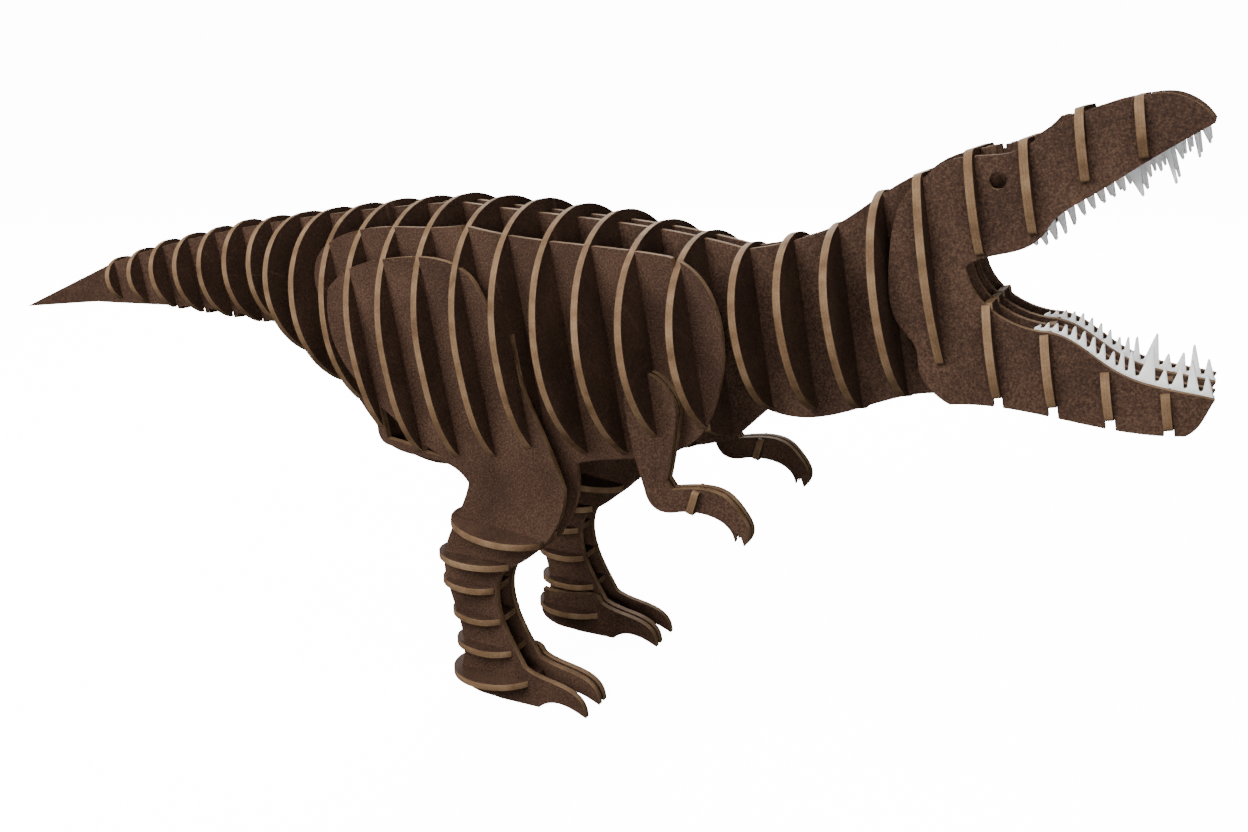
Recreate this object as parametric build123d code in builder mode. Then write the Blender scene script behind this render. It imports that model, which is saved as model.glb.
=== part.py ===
from build123d import *
import os
from math import asin, cos, degrees, radians, sin, tan

os.makedirs("parts", exist_ok=True)

# ---------------------------------------------------------------- driving sizes (mm)
BOARD = 2.5  # thickness of every sawn board
FIT = 0.1  # play on each side of a slot
SLOT = BOARD + 2 * FIT
RIB_PITCH = 15.37  # from one cross board to the next
TILT = 10.4  # the body leans nose-up by this many degrees above the floor

# Sideways place of each upright board, measured from the middle of the animal.
SPINE_Y = 5.0
TEETH_Y = 11.0
CHEEK_Y = 17.0
FOOT_Y = 23.7
FLANK_Y = 27.4
ARM_IN_Y = 30.0
ARM_OUT_Y = 33.6
HIP_Y = 38.0
LEG_MID_Y = 32.7  # middle of a leg, where its level discs are centred

# The body's own axes: "ahead" runs along the backbone, "up" stands square to it.
AHEAD = Vector(cos(radians(TILT)), 0, sin(radians(TILT)))
UP = Vector(-sin(radians(TILT)), 0, cos(radians(TILT)))
# Where the body's zero point lies, seen from the floor under the middle of the model.
BODY_ZERO = Vector(-170.3, 0, -41.64)

# The body's form, as values at a few ribs. Ribs between them follow straight lines.
RIB_COUNT = 23
RIB_TOP = [
    (1, 190), (3, 193.5), (6, 195.5), (11, 192.5), (13, 190), (15, 183.5), (17, 175),
    (20, 157.5), (22, 160), (23, 168),
]
RIB_MIDDLE = [
    (1, 180.5), (3, 179), (7, 171.5), (8, 165), (10, 148), (12, 139), (14, 136), (16, 131),
    (19, 128), (20, 132.5), (23, 136),
]
RIB_BOTTOM = [
    (1, 170.5), (7, 149.5), (8, 137), (10, 111), (11, 96), (13, 90), (17, 86.5), (19, 93.5),
    (20, 101), (22, 98.5), (23, 101.5),
]
RIB_HALF_WIDTH = [
    (1, 11), (6, 20), (7, 23), (8, 32), (9, 37), (10, 40), (11, 46), (12, 49), (18, 49),
    (19, 44), (20, 28), (23, 28),
]
# How square the lower half of a rib is: 2 is an ellipse, and the belly ribs are fuller.
RIB_SQUARENESS = [(10, 2.0), (12, 3.0), (14, 3.0), (16, 2.0)]

FLANK_RIBS = range(10, 20)
HIP_RIBS = range(11, 15)
HIP_FRONT_RIB = 15
HIP_FRONT_LAP = 141.0
ARM_RIB = 18
ARM_LAP = 112.0

# Skull ribs: rib number, top, lap height, bottom, radius of the two top corners.
SKULL_RIBS = [
    (24, 172.0, 140.0, 114.5, 5.0),
    (25, 176.5, 160.5, 146.0, 6.0),
    (26, 177.0, 163.0, 150.0, 4.0),
    (27, 183.0, 172.5, 162.5, 7.0),
    (28, 183.5, 175.5, 166.5, 7.0),
]
# Jaw ribs: rib number, top, lap height, bottom.
JAW_RIBS = [
    (25, 131.0, 116.0, 102.5),
    (26, 120.5, 108.5, 98.5),
    (27, 108.0, 100.5, 93.5),
    (28, 100.5, 95.0, 89.5),
]
HEAD_HALF = 19.5
SIDE_SWELL = 0.12  # how far a head rib swells out at mid height, as a share of its height
LOWER_CORNER = 1.5
JAW_CORNER = 1.0
GUM_RIBS = range(26, 29)  # ribs that also hold the fang strips

# Level discs of a leg: rear end, widest place, front end, half width, half front edge,
# height of the mid plane at the front end, slope against the body.
LEG_DISCS = [
    (190.0, 213.0, 228.5, 18.0, 9.0, 66.5, 16.0),
    (180.5, 198.5, 212.5, 13.0, 7.0, 58.0, TILT),
    (179.5, 195.0, 204.0, 11.0, 7.0, 49.0, TILT),
    (181.0, 196.0, 204.0, 11.0, 7.0, 37.0, TILT),
    (180.0, 196.0, 206.0, 11.5, 7.0, 24.5, TILT),
    (177.0, 194.5, 211.0, 15.5, 5.5, 12.5, TILT),
]
FOOT_DISC = 6

# Teeth of the even rows: first and last tip, how many, and how tall they stand along the lip.
LOWER_ROW = (397.5, 419.5, 10)
LOWER_ROW_HEIGHT = [(397.5, 0.8), (403, 2.4), (411, 4.4), (415, 4.4), (417.5, 3.4), (420, 5.5)]
UPPER_ROW = (396.5, 424.2, 11)
UPPER_ROW_HEIGHT = [(396.5, 1.0), (402.5, 4.0), (406, 6.4), (408, 6.0), (410.5, 4.4), (425, 4.5)]
ROW_LEAN = 0.6  # each tip stands this far behind the front end of its tooth
# The fangs in front of the even rows: place of the tip, height, front end of the tooth.
LOWER_FANGS = [
    (422.0, 6.8, 422.8),
    (427.7, 9.5, 427.9),
    (430.3, 4.0, 431.3),
    (434.5, 5.5, 435.2),
    (437.6, 8.6, 439.2),
    (441.2, 5.0, 442.7),
]
UPPER_FANGS = [
    (428.8, 8.8, 429.2),
    (431.2, 5.0, 431.8),
    (434.0, 5.0, 434.6),
    (437.5, 10.5, 437.2),
    (439.6, 5.0, 440.4),
    (441.6, 4.2, 442.2),
    (443.8, 7.0, 444.4),
    (446.6, 4.8, 447.2),
]
GUM_DEPTH = 6.0  # how deep a fang strip reaches behind the lip
END_DEPTH = 1.0  # the same at its two ends
STRIP_REAR = 1.5  # from the rear end of a strip to its first tip
VALLEY_DEPTH = 0.2
VALLEY_HALF = 0.45
TIP_HALF = 0.35


# ---------------------------------------------------------------- helpers
def station(number):
    """Distance of a rib along the backbone."""
    return RIB_PITCH * number


def follow(line, position):
    """Height or width of a line of points at this position, straight between two points."""
    for (start, low), (end, high) in zip(line, line[1:]):
        if position <= end:
            share = max(0, position - start) / (end - start)
            return low + (high - low) * share
    return line[-1][1]


def even_row(first, last, count, heights):
    """A row of evenly spaced teeth: place of the tip, height and front end of each."""
    step = (last - first) / (count - 1)
    tips = [first + step * index for index in range(count)]
    return [(tip, follow(heights, tip), tip + ROW_LEAN) for tip in tips]


def floor_height(along):
    """Height, in the body's own axes, at which a point so far along touches the floor."""
    return (-BODY_ZERO.Z - along * sin(radians(TILT))) / cos(radians(TILT))


def side_plane(sideways):
    """Upright plane along the body: sketch x is ahead, sketch y is up."""
    return Plane(origin=BODY_ZERO + Vector(0, sideways, 0), x_dir=AHEAD, z_dir=(0, -1, 0))


def rib_plane(along):
    """Plane square to the backbone: sketch x is sideways, sketch y is up."""
    return Plane(origin=BODY_ZERO + AHEAD * along, x_dir=(0, 1, 0), z_dir=AHEAD)


def sloped_plane(along, height, slope):
    """Plane that falls forward by slope degrees against the body: x is ahead, y sideways."""
    lean = radians(TILT - slope)
    start = BODY_ZERO + AHEAD * along + UP * height
    return Plane(origin=start, x_dir=(cos(lean), 0, sin(lean)), z_dir=(-sin(lean), 0, cos(lean)))


def stretches(*runs):
    """Draw one closed outline: a run of two points is straight, a longer one is smooth."""
    for run in runs:
        if len(run) == 2:
            Line(*run)
        else:
            Spline(*run)


def squared_half(half, middle, bottom, power):
    """Points of the lower half of a rib, from its left side round to its right side."""
    points = []
    for angle in range(180, 361, 15):
        across = cos(radians(angle))
        down = -sin(radians(angle))
        wide = half * abs(across) ** (2 / power) * (1 if across > 0 else -1)
        deep = (middle - bottom) * abs(down) ** (2 / power)
        points.append((wide, middle - deep))
    points[0] = (-half, middle)
    points[-1] = (half, middle)
    return points


def head_rib_outline(top, bottom):
    """Draw the outline of a head rib: straight top and bottom, swelling sides."""
    middle = (top + bottom) / 2
    widest = HEAD_HALF + SIDE_SWELL * (top - bottom)
    Line((-HEAD_HALF, top), (HEAD_HALF, top))
    ThreePointArc((HEAD_HALF, top), (widest, middle), (HEAD_HALF, bottom))
    Line((HEAD_HALF, bottom), (-HEAD_HALF, bottom))
    ThreePointArc((-HEAD_HALF, bottom), (-widest, middle), (-HEAD_HALF, top))


def cut_from_above(numbers):
    """Slots, open at the top, into which the ribs of these numbers drop."""
    for number in numbers:
        lap = follow(RIB_MIDDLE, number) - FIT
        with Locations((station(number), lap + 60)):
            Rectangle(SLOT, 120, mode=Mode.SUBTRACT)


def cut_for_skull_ribs():
    for number, top, lap, bottom, corner in SKULL_RIBS:
        with Locations((station(number), lap - FIT + 30)):
            Rectangle(SLOT, 60, mode=Mode.SUBTRACT)
    for number, top, lap, bottom in JAW_RIBS:
        with Locations((station(number), lap + FIT - 20)):
            Rectangle(SLOT, 40, mode=Mode.SUBTRACT)


def cut_for_discs(discs):
    """Slots, open at the back of the leg, into which the level discs slide."""
    for rear, widest, front, half, edge, height, slope in discs:
        middle = (rear + front) / 2 + FIT
        rise = (front - middle) * tan(radians(slope))
        reach = 30
        centre = (
            middle - reach / 2 * cos(radians(slope)),
            height + rise + reach / 2 * sin(radians(slope)),
        )
        with Locations(centre):
            Rectangle(reach, SLOT, rotation=-slope, mode=Mode.SUBTRACT)


# ---------------------------------------------------------------- shared outlines
TOE_TIP = (232.0, floor_height(232.0))
BALL = (213.0, floor_height(213.0))
HEEL_FLAT = (197.0, floor_height(197.0))
ANKLE = (210.0, 18.5)
KNEE_PIT = (211.0, 57.0)
KNEE_FRONT = (241.0, 85.5)
KNEE_BACK = (202.5, 90.0)
HEEL_TOP = (183.0, 20.0)
CALF_TOP = (184.0, 57.5)

TOE_UNDER = [BALL, (222.0, 5.0), (229.5, 1.5), TOE_TIP]
TOE_TOP = [TOE_TIP, (230.5, 7.0), (219.5, 13.5), ANKLE]
SHIN = [ANKLE, (206.5, 28.5), (204.0, 42.0), (206.5, 52.5), KNEE_PIT]
KNEE = [KNEE_PIT, (221.0, 61.0), (231.0, 68.0), (237.5, 76.0), KNEE_FRONT]
HEEL = [HEEL_FLAT, (193.0, 7.3), (188.5, 8.5), (181.5, 14.0), HEEL_TOP]
CALF = [HEEL_TOP, (186.0, 34.0), (184.5, 48.0), CALF_TOP]
KNEE_REAR = [CALF_TOP, (186.0, 65.0), (197.0, 81.0), KNEE_BACK]

JAW_TIP = (442.9, 97.5)
SNOUT_TIP = (448.5, 173.0)
JAW_HINGE = (370.0, 101.5)
CHIN_START = (434.5, 87.5)
LOWER_LIP_BACK = (400.5, 121.0)
MOUTH_TOP = (379.5, 143.0)
LIP_BEND = (402.5, 149.5)
JAW_UNDER = [JAW_HINGE, (400.0, 95.3), (420.0, 89.5), CHIN_START]
CHIN = [CHIN_START, (438.0, 90.0), (441.0, 94.5), JAW_TIP]
JAW_TOP = [JAW_TIP, (432.0, 101.0), (422.0, 105.0), (414.5, 110.5), (407.0, 117.5), LOWER_LIP_BACK]
MOUTH_CORNER = [LOWER_LIP_BACK, (389.0, 126.0), (380.5, 137.0), MOUTH_TOP]
LIP_BACK = [MOUTH_TOP, (386.0, 145.0), (393.0, 145.5), LIP_BEND]
LIP = [LIP_BEND, (405.5, 153.0), (415.0, 158.0), (432.0, 166.0), SNOUT_TIP]
LOWER_LIP = [(394.0, 122.0)] + JAW_TOP[::-1]
UPPER_LIP = LIP_BACK[2:] + LIP[1:]


# ---------------------------------------------------------------- body ribs
for number in range(1, RIB_COUNT + 1):
    top = follow(RIB_TOP, number)
    middle = follow(RIB_MIDDLE, number)
    half = follow(RIB_HALF_WIDTH, number)
    bottom = follow(RIB_BOTTOM, number)
    power = follow(RIB_SQUARENESS, number)
    slots = [(SPINE_Y, middle)]
    if number in FLANK_RIBS:
        slots.append((FLANK_Y, middle))
    if number in HIP_RIBS:
        slots.append((HIP_Y, middle))
    if number == HIP_FRONT_RIB:
        slots.append((HIP_Y, HIP_FRONT_LAP))
    if number == ARM_RIB:
        slots.append((ARM_IN_Y, ARM_LAP))
        slots.append((ARM_OUT_Y, ARM_LAP))
    with BuildPart() as rib:
        with BuildSketch(rib_plane(station(number))):
            with BuildLine():
                EllipticalCenterArc((0, middle), half, top - middle, 0, arc_size=180)
                Spline(*squared_half(half, middle, bottom, power), tangents=((0, -1), (0, 1)))
            make_face()
            for sideways, lap in slots:
                with Locations((sideways, lap + FIT - 60), (-sideways, lap + FIT - 60)):
                    Rectangle(SLOT, 120, mode=Mode.SUBTRACT)
        extrude(amount=BOARD / 2, both=True)
    rib.part.label = f"rib_{number:02d}"
    export_step(rib.part, f"parts/rib_{number:02d}.step")

# ---------------------------------------------------------------- skull ribs, slotted from below
for index, (number, top, lap, bottom, corner) in enumerate(SKULL_RIBS):
    with BuildPart() as skull_rib:
        with BuildSketch(rib_plane(station(number))):
            with BuildLine():
                head_rib_outline(top, bottom)
            make_face()
            fillet(vertices().sort_by(Axis.Y)[-2:], corner)
            fillet(vertices().sort_by(Axis.Y)[:2], LOWER_CORNER)
            for sideways in (SPINE_Y, CHEEK_Y):
                with Locations((sideways, lap + FIT - 60), (-sideways, lap + FIT - 60)):
                    Rectangle(SLOT, 120, mode=Mode.SUBTRACT)
            if number in GUM_RIBS:
                gum = follow(UPPER_LIP, station(number) + BOARD / 2) + GUM_DEPTH + FIT
                with Locations((TEETH_Y, gum - 60), (-TEETH_Y, gum - 60)):
                    Rectangle(SLOT, 120, mode=Mode.SUBTRACT)
        extrude(amount=BOARD / 2, both=True)
    skull_rib.part.label = f"skull_rib_{index + 1}"
    export_step(skull_rib.part, f"parts/skull_rib_{index + 1}.step")

# ---------------------------------------------------------------- jaw ribs, slotted from above
for index, (number, top, lap, bottom) in enumerate(JAW_RIBS):
    with BuildPart() as jaw_rib:
        with BuildSketch(rib_plane(station(number))):
            with BuildLine():
                head_rib_outline(top, bottom)
            make_face()
            fillet(vertices().sort_by(Axis.Y)[-2:], JAW_CORNER)
            fillet(vertices().sort_by(Axis.Y)[:2], LOWER_CORNER)
            for sideways in (SPINE_Y, CHEEK_Y):
                with Locations((sideways, lap - FIT + 30), (-sideways, lap - FIT + 30)):
                    Rectangle(SLOT, 60, mode=Mode.SUBTRACT)
            if number in GUM_RIBS:
                gum = follow(LOWER_LIP, station(number) + BOARD / 2) - GUM_DEPTH - FIT
                with Locations((TEETH_Y, gum + 30), (-TEETH_Y, gum + 30)):
                    Rectangle(SLOT, 60, mode=Mode.SUBTRACT)
        extrude(amount=BOARD / 2, both=True)
    jaw_rib.part.label = f"jaw_rib_{index + 1}"
    export_step(jaw_rib.part, f"parts/jaw_rib_{index + 1}.step")

# ---------------------------------------------------------------- boards along the body
TAIL_TIP = (-46.5, 175.5)
TAIL_END_TOP = (15.5, 188.0)
TAIL_END_UNDER = (0.0, 172.5)
RUMP = (200.0, 187.5)
SHOULDERS = (307.5, 156.0)
NAPE = (371.0, 172.5)
BROW = (409.0, 181.5)
CROWN_NOTCH = (391.5, 175.0)  # an empty notch in the crown, above the eye
THROAT_BACK = (306.0, 101.5)
CHEST_LOW = (291.5, 91.5)
TAIL_ROOT_UNDER = (118.0, 145.0)
TAIL_TOP = [TAIL_END_TOP, (46.0, 191.0), (92.0, 192.5), (169.0, 190.0), RUMP]
BACK = [RUMP, (246.0, 175.5), (277.0, 167.0), SHOULDERS]
NECK_TOP = [SHOULDERS, (323.0, 156.5), (338.0, 159.5), (353.5, 166.5), NAPE]
CROWN = [NAPE, (386.0, 176.0), (398.5, 176.5), BROW]
SNOUT_TOP = [BROW, (430.0, 182.5), (438.5, 181.5), (444.5, 178.0), SNOUT_TIP]
THROAT = [JAW_HINGE, (353.5, 102.5), (333.0, 98.5), THROAT_BACK]
BELLY = [
    CHEST_LOW, (262.0, 89.5), (215.0, 91.5), (184.0, 95.5), (166.0, 103.0), (146.0, 123.0),
    TAIL_ROOT_UNDER,
]
TAIL_UNDER = [TAIL_ROOT_UNDER, (92.0, 155.5), (61.5, 163.0), TAIL_END_UNDER]

for side, sign in (("left", 1), ("right", -1)):
    with BuildPart() as spine:
        with BuildSketch(side_plane(sign * SPINE_Y)):
            with BuildLine():
                stretches(
                    [TAIL_TIP, TAIL_END_TOP],
                    TAIL_TOP,
                    BACK,
                    NECK_TOP,
                    CROWN,
                    SNOUT_TOP,
                    LIP[::-1],
                    LIP_BACK[::-1],
                    MOUTH_CORNER[::-1],
                    JAW_TOP[::-1],
                    CHIN[::-1],
                    JAW_UNDER[::-1],
                    THROAT,
                    [THROAT_BACK, CHEST_LOW],
                    BELLY,
                    TAIL_UNDER,
                    [TAIL_END_UNDER, TAIL_TIP],
                )
            make_face()
            cut_from_above(range(1, RIB_COUNT + 1))
            cut_for_skull_ribs()
            with Locations(CROWN_NOTCH):
                Rectangle(SLOT, 5.0, mode=Mode.SUBTRACT)
        extrude(amount=BOARD / 2, both=True)
    spine.part.label = f"spine_{side}"
    export_step(spine.part, f"parts/spine_{side}.step")

# ---------------------------------------------------------------- cheeks with the eye hole
CHEEK_NAPE = (371.5, 171.0)
CHEEK_BROW = (413.0, 180.5)
CHEEK_BACK = [
    JAW_HINGE, (364.5, 107.0), (362.0, 113.0), (362.0, 119.5), (357.5, 128.0), (356.0, 139.5),
    (357.5, 149.0), (363.5, 165.0), CHEEK_NAPE,
]
CHEEK_TOP = [CHEEK_NAPE, (386.0, 174.5), (397.0, 174.0), (405.5, 177.5), CHEEK_BROW]
CHEEK_SNOUT = [CHEEK_BROW, (420.0, 182.5), (430.0, 183.3), (438.5, 182.5), (444.5, 178.8), SNOUT_TIP]
EYE = (391.5, 166.5)
EYE_RADIUS = 2.5

for side, sign in (("left", 1), ("right", -1)):
    with BuildPart() as cheek:
        with BuildSketch(side_plane(sign * CHEEK_Y)):
            with BuildLine():
                stretches(
                    CHEEK_BACK,
                    CHEEK_TOP,
                    CHEEK_SNOUT,
                    LIP[::-1],
                    LIP_BACK[::-1],
                    MOUTH_CORNER[::-1],
                    JAW_TOP[::-1],
                    CHIN[::-1],
                    JAW_UNDER[::-1],
                )
            make_face()
            cut_for_skull_ribs()
            with Locations(EYE):
                Circle(EYE_RADIUS, mode=Mode.SUBTRACT)
        extrude(amount=BOARD / 2, both=True)
    cheek.part.label = f"cheek_{side}"
    export_step(cheek.part, f"parts/cheek_{side}.step")

# ---------------------------------------------------------------- flank and middle leg in one board
FLANK_TAIL = (144.5, 167.0)
FLANK_PEAK = (214.5, 179.5)
CHEST_TOP = (289.0, 159.0)
CHEST_FOOT = (292.5, 101.5)
FLANK_KNEE = (241.5, 92.0)
FLANK_THIGH = (189.0, 94.5)
FLANK_TOP = [FLANK_TAIL, (151.5, 179.5), (159.0, 182.5), (184.5, 183.0), FLANK_PEAK]
FLANK_FRONT_TOP = [FLANK_PEAK, (245.0, 170.0), (276.5, 162.5), CHEST_TOP]
CHEST = [CHEST_TOP, (298.5, 151.5), (303.5, 134.0), (299.5, 114.0), CHEST_FOOT]
FLANK_UNDER = [CHEST_FOOT, (285.0, 96.0), (272.0, 93.0), FLANK_KNEE]
FLANK_REAR = [FLANK_THIGH, (176.0, 97.5), (164.0, 105.5), (148.0, 138.0), FLANK_TAIL]

for side, sign in (("left", 1), ("right", -1)):
    with BuildPart() as flank:
        with BuildSketch(side_plane(sign * FLANK_Y)):
            with BuildLine():
                stretches(
                    FLANK_TOP,
                    FLANK_FRONT_TOP,
                    CHEST,
                    FLANK_UNDER,
                    [FLANK_KNEE, KNEE_FRONT],
                    KNEE[::-1],
                    SHIN[::-1],
                    TOE_TOP[::-1],
                    TOE_UNDER[::-1],
                    [BALL, HEEL_FLAT],
                    HEEL,
                    CALF,
                    KNEE_REAR,
                    [KNEE_BACK, FLANK_THIGH],
                    FLANK_REAR,
                )
            make_face()
            cut_from_above(FLANK_RIBS)
            cut_for_discs(LEG_DISCS)
        extrude(amount=BOARD / 2, both=True)
    flank.part.label = f"flank_leg_{side}"
    export_step(flank.part, f"parts/flank_leg_{side}.step")

# ---------------------------------------------------------------- outer hip and leg board
HIP_REAR_LOW = (167.5, 125.0)
HIP_REAR_TOP = (159.0, 165.5)
HIP_FRONT_TOP = (222.3, 157.5)
HEM_REAR = (172.0, 105.5)
HEM_TOP = (167.5, 113.0)
HIP_REAR = [HIP_REAR_LOW, (160.0, 135.0), (156.3, 145.0), (156.0, 155.0), HIP_REAR_TOP]
HIP_TOP = [
    HIP_REAR_TOP, (171.5, 171.5), (191.5, 172.5), (210.0, 169.3), (217.5, 165.0), HIP_FRONT_TOP,
]
HIP_FRONT = [
    HIP_FRONT_TOP, (225.0, 150.5), (229.0, 140.5), (232.5, 121.0), (236.5, 106.0), KNEE_FRONT,
]
HIP_UNDER = [KNEE_BACK, (196.0, 97.0), (183.5, 101.0), HEM_REAR]
HIP_HEM = [HEM_REAR, (168.5, 107.5), HEM_TOP]
REAR_WINDOW = [(171.0, 120.5), (171.0, 108.5), (181.0, 105.0), (181.0, 110.5)]
FRONT_WINDOW = [(186.0, 105.5), (186.0, 102.5), (194.0, 100.0)]

for side, sign in (("left", 1), ("right", -1)):
    with BuildPart() as hip:
        with BuildSketch(side_plane(sign * HIP_Y)):
            with BuildLine():
                stretches(
                    HIP_REAR,
                    HIP_TOP,
                    HIP_FRONT,
                    KNEE[::-1],
                    SHIN[::-1],
                    TOE_TOP[::-1],
                    TOE_UNDER[::-1],
                    [BALL, HEEL_FLAT],
                    HEEL,
                    CALF,
                    KNEE_REAR,
                    HIP_UNDER,
                    HIP_HEM,
                    [HEM_TOP, HIP_REAR_LOW],
                )
            make_face()
            Polygon(*REAR_WINDOW, align=None, mode=Mode.SUBTRACT)
            Polygon(*FRONT_WINDOW, align=None, mode=Mode.SUBTRACT)
            cut_from_above(HIP_RIBS)
            cut_for_discs(LEG_DISCS)
        extrude(amount=BOARD / 2, both=True)
    hip.part.label = f"hip_leg_{side}"
    export_step(hip.part, f"parts/hip_leg_{side}.step")

# ---------------------------------------------------------------- inner foot board
ANKLE_TOP_REAR = (184.0, 25.5)
ANKLE_TOP = [ANKLE, (208.5, 21.3), (204.5, 22.6), (195.0, 23.2), ANKLE_TOP_REAR]

for side, sign in (("left", 1), ("right", -1)):
    with BuildPart() as foot:
        with BuildSketch(side_plane(sign * FOOT_Y)):
            with BuildLine():
                stretches(
                    ANKLE_TOP,
                    [ANKLE_TOP_REAR, HEEL_TOP],
                    HEEL[::-1],
                    [HEEL_FLAT, BALL],
                    TOE_UNDER,
                    TOE_TOP,
                )
            make_face()
            cut_for_discs(LEG_DISCS[FOOT_DISC - 1 :])
        extrude(amount=BOARD / 2, both=True)
    foot.part.label = f"foot_inner_{side}"
    export_step(foot.part, f"parts/foot_inner_{side}.step")

# ---------------------------------------------------------------- level discs, slotted from the front
for index, (rear, widest, front, half, edge, height, slope) in enumerate(LEG_DISCS):
    stretch = 1 / cos(radians(slope))
    back_radius = (widest - rear) * stretch
    widest_x = (widest - front) * stretch
    front_turn = degrees(asin(edge / half))
    front_radius = -widest_x / cos(radians(front_turn))
    middle = (rear - front) / 2 * stretch - FIT
    boards = [FLANK_Y, HIP_Y]
    if index + 1 == FOOT_DISC:
        boards.append(FOOT_Y)
    with BuildPart() as discs:
        with BuildSketch(sloped_plane(front, height, slope)):
            for sign in (1, -1):
                centre = (widest_x, sign * LEG_MID_Y)
                with BuildLine():
                    EllipticalCenterArc(centre, back_radius, half, 90, arc_size=180)
                    EllipticalCenterArc(centre, front_radius, half, front_turn, arc_size=90 - front_turn)
                    EllipticalCenterArc(centre, front_radius, half, 270, arc_size=90 - front_turn)
                    Line((0, sign * LEG_MID_Y - edge), (0, sign * LEG_MID_Y + edge))
                make_face()
            for sideways in boards:
                with Locations((middle + 20, sideways), (middle + 20, -sideways)):
                    Rectangle(40, SLOT, mode=Mode.SUBTRACT)
        extrude(amount=BOARD / 2, both=True)
    discs.part.label = f"leg_discs_{index + 1}"
    export_step(discs.part, f"parts/leg_discs_{index + 1}.step")

# ---------------------------------------------------------------- arms: two boards a side and a wrist ring
ARM_REAR_TOP = (267.5, 112.0)
ARM_FRONT_TOP = (285.5, 107.0)
ELBOW_TOP = (278.0, 86.0)
FOREARM_START = (279.5, 83.0)
UPPER_CLAW = (302.0, 62.5)
LOWER_CLAW = (299.0, 64.0)
ELBOW_UNDER = (279.5, 75.0)
ARM_REAR_LOW = (269.5, 84.0)
SHOULDER = [ARM_REAR_TOP, (270.5, 119.5), (276.5, 123.0), (282.0, 119.5), ARM_FRONT_TOP]
UPPER_ARM_FRONT = [ARM_FRONT_TOP, (280.5, 92.5), ELBOW_TOP]
ELBOW_FRONT = [ELBOW_TOP, FOREARM_START]
FOREARM_TOP = [
    FOREARM_START, (286.5, 83.0), (297.5, 80.0), (302.5, 73.5), (304.5, 67.5), UPPER_CLAW,
]
CLAW_GAP = [UPPER_CLAW, (300.5, 67.0), LOWER_CLAW]
HAND_UNDER = [LOWER_CLAW, (298.0, 68.5), (290.0, 74.0), ELBOW_UNDER]
ELBOW_REAR = [ELBOW_UNDER, (272.0, 77.0), ARM_REAR_LOW]
UPPER_ARM_REAR = [ARM_REAR_LOW, (268.0, 97.0), ARM_REAR_TOP]
WRIST = (287.0, 78.5)
WRIST_LEAN = 26.0
WRIST_HEIGHT = 8.5
WRIST_WIDTH = 10.0

for side, sign in (("left", 1), ("right", -1)):
    for layer, sideways in (("inner", ARM_IN_Y), ("outer", ARM_OUT_Y)):
        with BuildPart() as arm:
            with BuildSketch(side_plane(sign * sideways)):
                with BuildLine():
                    stretches(
                        SHOULDER,
                        UPPER_ARM_FRONT,
                        ELBOW_FRONT,
                        FOREARM_TOP,
                        CLAW_GAP,
                        HAND_UNDER,
                        ELBOW_REAR,
                        UPPER_ARM_REAR,
                    )
                make_face()
                with Locations((station(ARM_RIB), ARM_LAP - FIT + 30)):
                    Rectangle(SLOT, 60, mode=Mode.SUBTRACT)
                reach = 16
                slot_centre = (
                    WRIST[0] + (FIT - reach / 2) * sin(radians(WRIST_LEAN)),
                    WRIST[1] + (FIT - reach / 2) * cos(radians(WRIST_LEAN)),
                )
                with Locations(slot_centre):
                    Rectangle(SLOT, reach, rotation=-WRIST_LEAN, mode=Mode.SUBTRACT)
            extrude(amount=BOARD / 2, both=True)
        arm.part.label = f"arm_{layer}_{side}"
        export_step(arm.part, f"parts/arm_{layer}_{side}.step")

    wrist_start = BODY_ZERO + AHEAD * WRIST[0] + UP * WRIST[1]
    forearm = AHEAD * cos(radians(WRIST_LEAN)) - UP * sin(radians(WRIST_LEAN))
    with BuildPart() as wrist:
        with BuildSketch(Plane(origin=wrist_start, x_dir=(0, 1, 0), z_dir=forearm)):
            with Locations((sign * (ARM_IN_Y + ARM_OUT_Y) / 2, 0)):
                RectangleRounded(WRIST_WIDTH, WRIST_HEIGHT, 1.0)
            with Locations((sign * ARM_IN_Y, 10 - FIT), (sign * ARM_OUT_Y, 10 - FIT)):
                Rectangle(SLOT, 20, mode=Mode.SUBTRACT)
        extrude(amount=BOARD / 2, both=True)
    wrist.part.label = f"wrist_{side}"
    export_step(wrist.part, f"parts/wrist_{side}.step")

# ---------------------------------------------------------------- fang strips
LOWER_TEETH = even_row(*LOWER_ROW, LOWER_ROW_HEIGHT) + LOWER_FANGS
UPPER_TEETH = even_row(*UPPER_ROW, UPPER_ROW_HEIGHT) + UPPER_FANGS


def draw_fangs(teeth, lip, inward):
    """Row of teeth along a lip, closed by the hidden edge of the strip inside the jaw."""
    start = teeth[0][0] - STRIP_REAR
    end = teeth[-1][2]
    points = [(start, follow(lip, start) + inward * END_DEPTH)]
    points.append((start, follow(lip, start) + inward * VALLEY_DEPTH))
    for tip, height, front in teeth:
        point = follow(lip, tip) - inward * height
        shoulder = point + inward * TIP_HALF
        valley = follow(lip, front) + inward * VALLEY_DEPTH
        points.append((tip - TIP_HALF, shoulder))
        points.append((tip, point))
        points.append((tip + TIP_HALF, shoulder))
        points.append((front - VALLEY_HALF, valley))
        if front < end:
            points.append((front + VALLEY_HALF, valley))
    points.append((end, follow(lip, end) + inward * END_DEPTH))
    hidden = [(x, y + inward * GUM_DEPTH) for x, y in lip if start + 1 < x < end - 1]
    Polyline(*points, *hidden[::-1], close=True)


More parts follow.
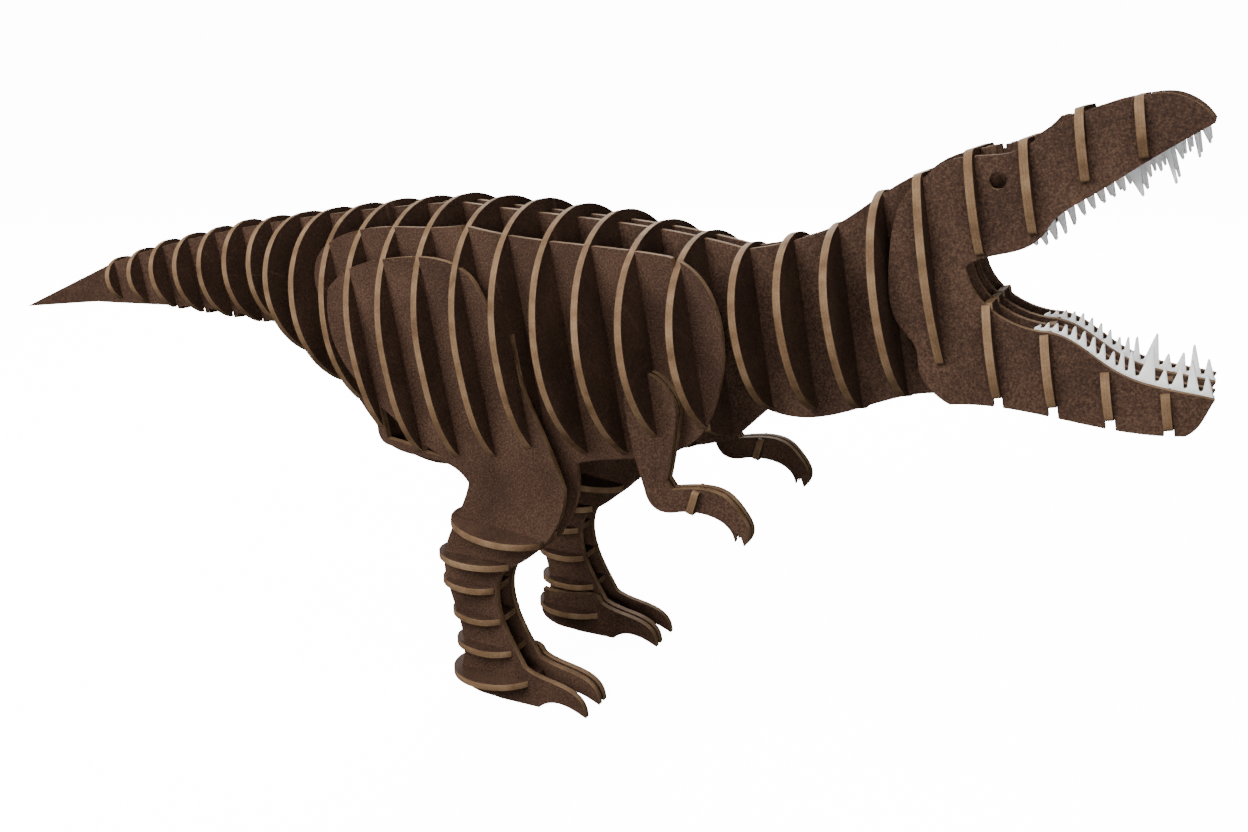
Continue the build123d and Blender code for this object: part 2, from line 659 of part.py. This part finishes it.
for side, sign in (("left", 1), ("right", -1)):
    rows = (("lower", LOWER_TEETH, LOWER_LIP, -1), ("upper", UPPER_TEETH, UPPER_LIP, 1))
    for jaw, teeth, lip, inward in rows:
        with BuildPart() as fangs:
            with BuildSketch(side_plane(sign * TEETH_Y)):
                with BuildLine():
                    draw_fangs(teeth, lip, inward)
                make_face()
            extrude(amount=BOARD / 2, both=True)
        fangs.part.label = f"teeth_{jaw}_{side}"
        export_step(fangs.part, f"parts/teeth_{jaw}_{side}.step")
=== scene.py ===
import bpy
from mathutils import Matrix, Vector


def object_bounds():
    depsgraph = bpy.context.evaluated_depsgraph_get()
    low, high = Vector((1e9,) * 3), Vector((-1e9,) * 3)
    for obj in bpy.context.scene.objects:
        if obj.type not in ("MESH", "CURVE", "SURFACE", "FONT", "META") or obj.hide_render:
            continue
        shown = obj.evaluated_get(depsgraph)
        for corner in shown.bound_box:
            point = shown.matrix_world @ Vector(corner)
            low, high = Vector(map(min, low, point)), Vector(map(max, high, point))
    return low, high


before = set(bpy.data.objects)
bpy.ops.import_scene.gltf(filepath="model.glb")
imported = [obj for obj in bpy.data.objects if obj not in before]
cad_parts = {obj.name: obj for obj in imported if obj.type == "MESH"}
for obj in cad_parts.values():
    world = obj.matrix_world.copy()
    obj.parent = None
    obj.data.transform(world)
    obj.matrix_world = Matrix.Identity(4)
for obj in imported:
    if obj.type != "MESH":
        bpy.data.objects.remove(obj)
cad_box = [list(corner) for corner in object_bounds()]

from math import cos, radians, sin

import bpy
from mathutils import Matrix, Vector

# ---------------------------------------------------------------- driving values (metres, degrees)
BOARD = 0.0025  # thickness of every board
TILT = 10.4  # the body leans nose-up
DISC_LEAN = -5.6  # the top disc of each leg falls forward
FOREARM_DROP = 26.0  # the forearms hang this far below the line of the body
WRIST_LEAN = TILT - FOREARM_DROP

WELD_REACH = 0.00001  # corners of a mesh closer than this are one corner
EDGE_ROUNDING = 0.00014
SHARP_ANGLE = 40.0  # edges that turn more than this are rounded

CAMERA_PLACE = Vector((0.2420, -0.3823, 0.2251))
CAMERA_YAW = 116.0
CAMERA_PITCH = -16.03
CAMERA_ROLL = -0.69
CAMERA_NEAR = 0.01
CAMERA_LENS = 34.92  # millimetres, as the sensor width
SENSOR_WIDTH = 36.0

FLOOR_SIZE = 24.0
WHITE_GLOW = 14.0  # shows as paper white
WORLD_LIGHT = 0.03  # strength with which the same white lights the model

# Soft round lights: name, place, the X that it aims at, diameter, watts.
LIGHTS = [
    ("key", (-0.40, -1.00, 1.00), 0.0, 0.9, 35.0),
    ("right", (0.85, -0.60, 1.00), 0.0, 0.8, 3.5),
    ("low_fill", (0.60, -1.05, 0.06), 0.24, 0.5, 9.5),
    ("top", (-0.10, -0.10, 1.40), 0.0, 0.9, 9.5),
    ("back", (-0.45, 1.05, 0.80), 0.0, 0.9, 24.0),
]


def leaning(degrees):
    """Unit vector in the middle plane, raised by this angle above the floor."""
    return Vector((cos(radians(degrees)), 0.0, sin(radians(degrees))))


def board_normal(name):
    """Direction in which a board's thickness runs."""
    if "rib" in name:
        return leaning(TILT)
    if name == "leg_discs_1":
        return leaning(DISC_LEAN + 90.0)
    if name.startswith("leg_discs"):
        return Vector((0.0, 0.0, 1.0))
    if name.startswith("wrist"):
        return leaning(WRIST_LEAN)
    return Vector((0.0, 1.0, 0.0))


def board_middle(node, normal):
    """Place of a board's middle layer, measured along its normal."""
    heights = [vertex.co.dot(normal) for vertex in node.data.vertices]
    return (min(heights) + max(heights)) / 2


# ---------------------------------------------------------------- node helpers
class Graph:
    """A material's nodes, added one at a time."""

    def __init__(self, name):
        self.material = bpy.data.materials.new(name)
        self.material.use_nodes = True
        self.tree = self.material.node_tree
        self.tree.nodes.clear()
        self.output = self.tree.nodes.new("ShaderNodeOutputMaterial")

    def add(self, kind, inputs=None, **settings):
        node = self.tree.nodes.new("ShaderNode" + kind)
        for key, value in settings.items():
            setattr(node, key, value)
        for key, value in (inputs or {}).items():
            self.feed(node.inputs[key], value)
        return node

    def feed(self, socket, value):
        if isinstance(value, bpy.types.NodeSocket):
            self.tree.links.new(value, socket)
        else:
            socket.default_value = value

    def maths(self, operation, first, second=0.0):
        return self.add("Math", {0: first, 1: second}, operation=operation).outputs[0]

    def weighted(self, *shares):
        """Sum of several values, each times its weight."""
        total = None
        for value, weight in shares:
            share = self.maths("MULTIPLY", value, weight)
            total = share if total is None else self.maths("ADD", total, share)
        return total

    def vector(self, operation, first, second):
        node = self.add("VectorMath", {0: first, 1: second}, operation=operation)
        return node.outputs["Value" if operation == "DOT_PRODUCT" else "Vector"]

    def noise(self, vector, scale, detail=2.0, roughness=0.5, distortion=0.0):
        inputs = {"Vector": vector, "Scale": scale, "Detail": detail}
        inputs.update({"Roughness": roughness, "Distortion": distortion})
        return self.add("TexNoise", inputs).outputs["Fac"]

    def between(self, value, low, high):
        """0 below low, 1 above high, smooth in between."""
        inputs = {"Value": value, "From Min": low, "From Max": high}
        node = self.add("MapRange", inputs, interpolation_type="SMOOTHSTEP")
        return node.outputs["Result"]

    def ramp(self, value, *stops):
        node = self.add("ValToRGB", {"Fac": value})
        elements = node.color_ramp.elements
        while len(elements) < len(stops):
            elements.new(0.5)
        for element, (place, colour) in zip(elements, stops):
            element.position = place
            element.color = (*colour, 1.0)
        return node.outputs["Color"]

    def mix(self, share, first, second, blend="MIX"):
        node = self.add("Mix", data_type="RGBA", blend_type=blend)
        self.feed(node.inputs[0], share)
        self.feed(node.inputs[6], first)
        self.feed(node.inputs[7], second)
        return node.outputs[2]

    def finish(self, shader):
        self.tree.links.new(shader.outputs[0], self.output.inputs["Surface"])
        return self.material


# ---------------------------------------------------------------- materials
FACE_DARK = (0.017, 0.0070, 0.0042)
FACE_MAIN = (0.047, 0.0232, 0.0138)
FACE_LIGHT = (0.100, 0.0560, 0.0340)
FIBRE = (0.150, 0.094, 0.057)
EDGE_DARK = (0.095, 0.053, 0.026)
EDGE_MAIN = (0.155, 0.093, 0.048)
EDGE_LIGHT = (0.220, 0.140, 0.078)
GLUE_LINE = (0.72, 0.67, 0.62)
SCORCH = (0.60, 0.54, 0.50)
FANG_DARK = (0.84, 0.83, 0.81)
FANG_LIGHT = (0.93, 0.93, 0.92)
PAPER_DARK = (0.90, 0.90, 0.90)
PAPER_LIGHT = (0.93, 0.93, 0.93)
WHITE = (1.0, 1.0, 1.0)

# Noise scales, in features per metre.
PAPER_SCALE = 6.0
CLOUD_SCALE = 45.0
PATCH_SCALE = 130.0
MILK_SCALE = 260.0
STRAND_SCALE = 620.0
GRIT_SCALE = 1500.0
STREAK_SCALE = 1700.0
SCRATCH_SCALE = 2400.0
DUST_SCALE = 3200.0

SEED_STEP = (0.37, 0.61, 0.23)  # shift of the grain from one board to the next, in metres
# A surface is a sawn edge or a face by how far it faces along the board's thickness, from 0 to 1.
EDGE_TURN = 0.55
FACE_TURN = 0.86

FIBRE_SHARE = 0.30  # how strongly the paler fibres show
GLUE_SHARE = 0.8  # how strongly the layers show on a sawn edge
BOARD_SHINE = 0.18
BOARD_RELIEF = 0.00010  # metres between the low and the high grit
FANG_RELIEF = 0.00005
FANG_SPREAD = 0.003  # how far light spreads inside the milky plastic


def face_colour(graph, grain, speckle):
    """Pressed fibre: grit on a millimetre scale, slow clouds and a few paler fibres."""
    clouds = graph.noise(grain, CLOUD_SCALE, 3.0, 0.55)
    tone = graph.maths("ADD", speckle, graph.maths("MULTIPLY", clouds, 0.26))
    face = graph.ramp(tone, (0.36, FACE_DARK), (0.50, FACE_MAIN), (0.66, FACE_LIGHT))
    strands = graph.noise(grain, STRAND_SCALE, 2.0, 0.5, 2.4)
    fibres = graph.maths("MULTIPLY", graph.between(strands, 0.66, 0.74), FIBRE_SHARE)
    return graph.mix(fibres, face, (*FIBRE, 1.0))


def edge_colour(graph, grain, streaks, height):
    """Sawn edge: streaks across the thickness and two thin darker lines between the layers."""
    layer = graph.maths("ABSOLUTE", graph.maths("DIVIDE", height, BOARD))
    patches = graph.noise(grain, PATCH_SCALE, 2.0)
    tone = graph.weighted((streaks, 0.35), (patches, 0.65))
    edge = graph.ramp(tone, (0.34, EDGE_DARK), (0.50, EDGE_MAIN), (0.68, EDGE_LIGHT))
    glue = graph.ramp(
        layer, (0.11, WHITE), (0.155, GLUE_LINE), (0.20, WHITE), (0.46, WHITE), (0.50, SCORCH)
    )
    return graph.mix(GLUE_SHARE, edge, glue, "MULTIPLY")


def board_material(name, normal, middle, seed):
    """Dark pressed fibreboard with speckled faces and tan sawn edges."""
    graph = Graph("board_" + name)
    coords = graph.add("TexCoord")
    place = coords.outputs["Object"]
    grain = graph.vector("ADD", place, tuple(seed * step for step in SEED_STEP))
    turned = graph.vector("DOT_PRODUCT", coords.outputs["Normal"], tuple(normal))
    facing = graph.between(graph.maths("ABSOLUTE", turned), EDGE_TURN, FACE_TURN)
    height = graph.maths("SUBTRACT", graph.vector("DOT_PRODUCT", place, tuple(normal)), middle)

    grit = graph.noise(grain, GRIT_SCALE, 3.0, 0.62)
    dust = graph.noise(grain, DUST_SCALE, 1.0)
    speckle = graph.weighted((grit, 0.58), (dust, 0.16))
    streaks = graph.noise(grain, STREAK_SCALE, 3.0, 0.6)
    edge = edge_colour(graph, grain, streaks, height)
    colour = graph.mix(facing, edge, face_colour(graph, grain, speckle))

    relief = graph.mix(facing, streaks, speckle)
    bump = graph.add("Bump", {"Strength": 0.45, "Distance": BOARD_RELIEF, "Height": relief})
    rough = graph.maths("ADD", graph.maths("MULTIPLY", grit, 0.22), 0.66)
    inputs = {"Base Color": colour, "Roughness": rough, "Normal": bump.outputs[0]}
    inputs["Specular IOR Level"] = BOARD_SHINE
    return graph.finish(graph.add("BsdfPrincipled", inputs))


def fang_material():
    """Milky plastic with a faint cloudiness and a satin, slightly scratched surface."""
    graph = Graph("milky_plastic")
    place = graph.add("TexCoord").outputs["Object"]
    clouds = graph.noise(place, MILK_SCALE, 3.0, 0.55)
    colour = graph.ramp(clouds, (0.35, FANG_DARK), (0.65, FANG_LIGHT))
    scratches = graph.noise(place, SCRATCH_SCALE, 2.0, 0.6, 0.6)
    bump = graph.add("Bump", {"Strength": 0.2, "Distance": FANG_RELIEF, "Height": scratches})
    rough = graph.maths("ADD", graph.maths("MULTIPLY", scratches, 0.25), 0.28)
    inputs = {"Base Color": colour, "Roughness": rough, "Normal": bump.outputs[0]}
    inputs.update({"Subsurface Weight": 0.8, "Subsurface Scale": FANG_SPREAD})
    inputs["Subsurface Radius"] = (1.0, 0.9, 0.8)
    return graph.finish(graph.add("BsdfPrincipled", inputs))


def floor_material():
    """Plain white paper, lit through from below like a light table."""
    graph = Graph("pale_floor")
    place = graph.add("TexCoord").outputs["Object"]
    fleck = graph.noise(place, PAPER_SCALE, 2.0)
    tone = graph.ramp(fleck, (0.3, PAPER_DARK), (0.7, PAPER_LIGHT))
    inputs = {"Base Color": tone, "Roughness": 0.9, "Emission Color": (*WHITE, 1.0)}
    inputs["Emission Strength"] = WHITE_GLOW
    return graph.finish(graph.add("BsdfPrincipled", inputs))


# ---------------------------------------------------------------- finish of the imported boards
def soften_edges(node):
    """Join the mesh's split corners and round its sharp edges a little."""
    weld = node.modifiers.new("weld", "WELD")
    weld.merge_threshold = WELD_REACH
    bevel = node.modifiers.new("rounding", "BEVEL")
    bevel.width = EDGE_ROUNDING
    bevel.segments = 2
    bevel.limit_method = "ANGLE"
    bevel.angle_limit = radians(SHARP_ANGLE)
    bevel.use_clamp_overlap = True


def dress(node, material):
    node.data.materials.clear()
    node.data.materials.append(material)


plastic = fang_material()
for seed, (name, node) in enumerate(sorted(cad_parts.items())):
    if name.startswith("teeth"):
        dress(node, plastic)
    else:
        normal = board_normal(name)
        dress(node, board_material(name, normal, board_middle(node, normal), seed + 1))
    soften_edges(node)


# ---------------------------------------------------------------- floor, light and camera
def add_floor():
    bpy.ops.mesh.primitive_plane_add(size=FLOOR_SIZE, location=(0.0, 0.0, 0.0))
    floor = bpy.context.object
    floor.name = "floor"
    floor.data.materials.append(floor_material())
    floor.visible_diffuse = False
    floor.visible_glossy = False


def add_light(name, place, target, diameter, watts):
    light = bpy.data.lights.new(name, "AREA")
    light.shape = "DISK"
    light.size = diameter
    light.energy = watts
    lamp = bpy.data.objects.new(name, light)
    bpy.context.collection.objects.link(lamp)
    lamp.location = place
    lamp.rotation_euler = (Vector(target) - Vector(place)).to_track_quat("-Z", "Y").to_euler()


def add_world(light_strength, shown_strength):
    """Even white surroundings, shown brighter than the light that they give."""
    world = bpy.data.worlds.new("studio")
    world.use_nodes = True
    nodes, links = world.node_tree.nodes, world.node_tree.links
    nodes.clear()
    path = nodes.new("ShaderNodeLightPath")
    mix = nodes.new("ShaderNodeMixShader")
    output = nodes.new("ShaderNodeOutputWorld")
    links.new(path.outputs["Is Camera Ray"], mix.inputs["Fac"])
    for socket, strength in ((1, light_strength), (2, shown_strength)):
        sky = nodes.new("ShaderNodeBackground")
        sky.inputs["Color"].default_value = (*WHITE, 1.0)
        sky.inputs["Strength"].default_value = strength
        links.new(sky.outputs["Background"], mix.inputs[socket])
    links.new(mix.outputs["Shader"], output.inputs["Surface"])
    bpy.context.scene.world = world


def add_camera():
    yaw, pitch = radians(CAMERA_YAW), radians(CAMERA_PITCH)
    ahead = Vector((cos(yaw) * cos(pitch), sin(yaw) * cos(pitch), sin(pitch)))
    right = Vector((sin(yaw), -cos(yaw), 0.0))
    up = right.cross(ahead)
    turn = Matrix((right, up, -ahead)).transposed() @ Matrix.Rotation(radians(CAMERA_ROLL), 3, "Z")
    data = bpy.data.cameras.new("camera")
    data.sensor_width = SENSOR_WIDTH
    data.lens = CAMERA_LENS
    data.clip_start = CAMERA_NEAR
    camera = bpy.data.objects.new("camera", data)
    camera.matrix_world = Matrix.Translation(CAMERA_PLACE) @ turn.to_4x4()
    bpy.context.collection.objects.link(camera)
    bpy.context.scene.camera = camera


add_floor()
middle_height = (cad_box[0][2] + cad_box[1][2]) / 2
for name, place, aim_x, diameter, watts in LIGHTS:
    add_light(name, place, (aim_x, 0.0, middle_height), diameter, watts)
add_world(WORLD_LIGHT, WHITE_GLOW)
add_camera()
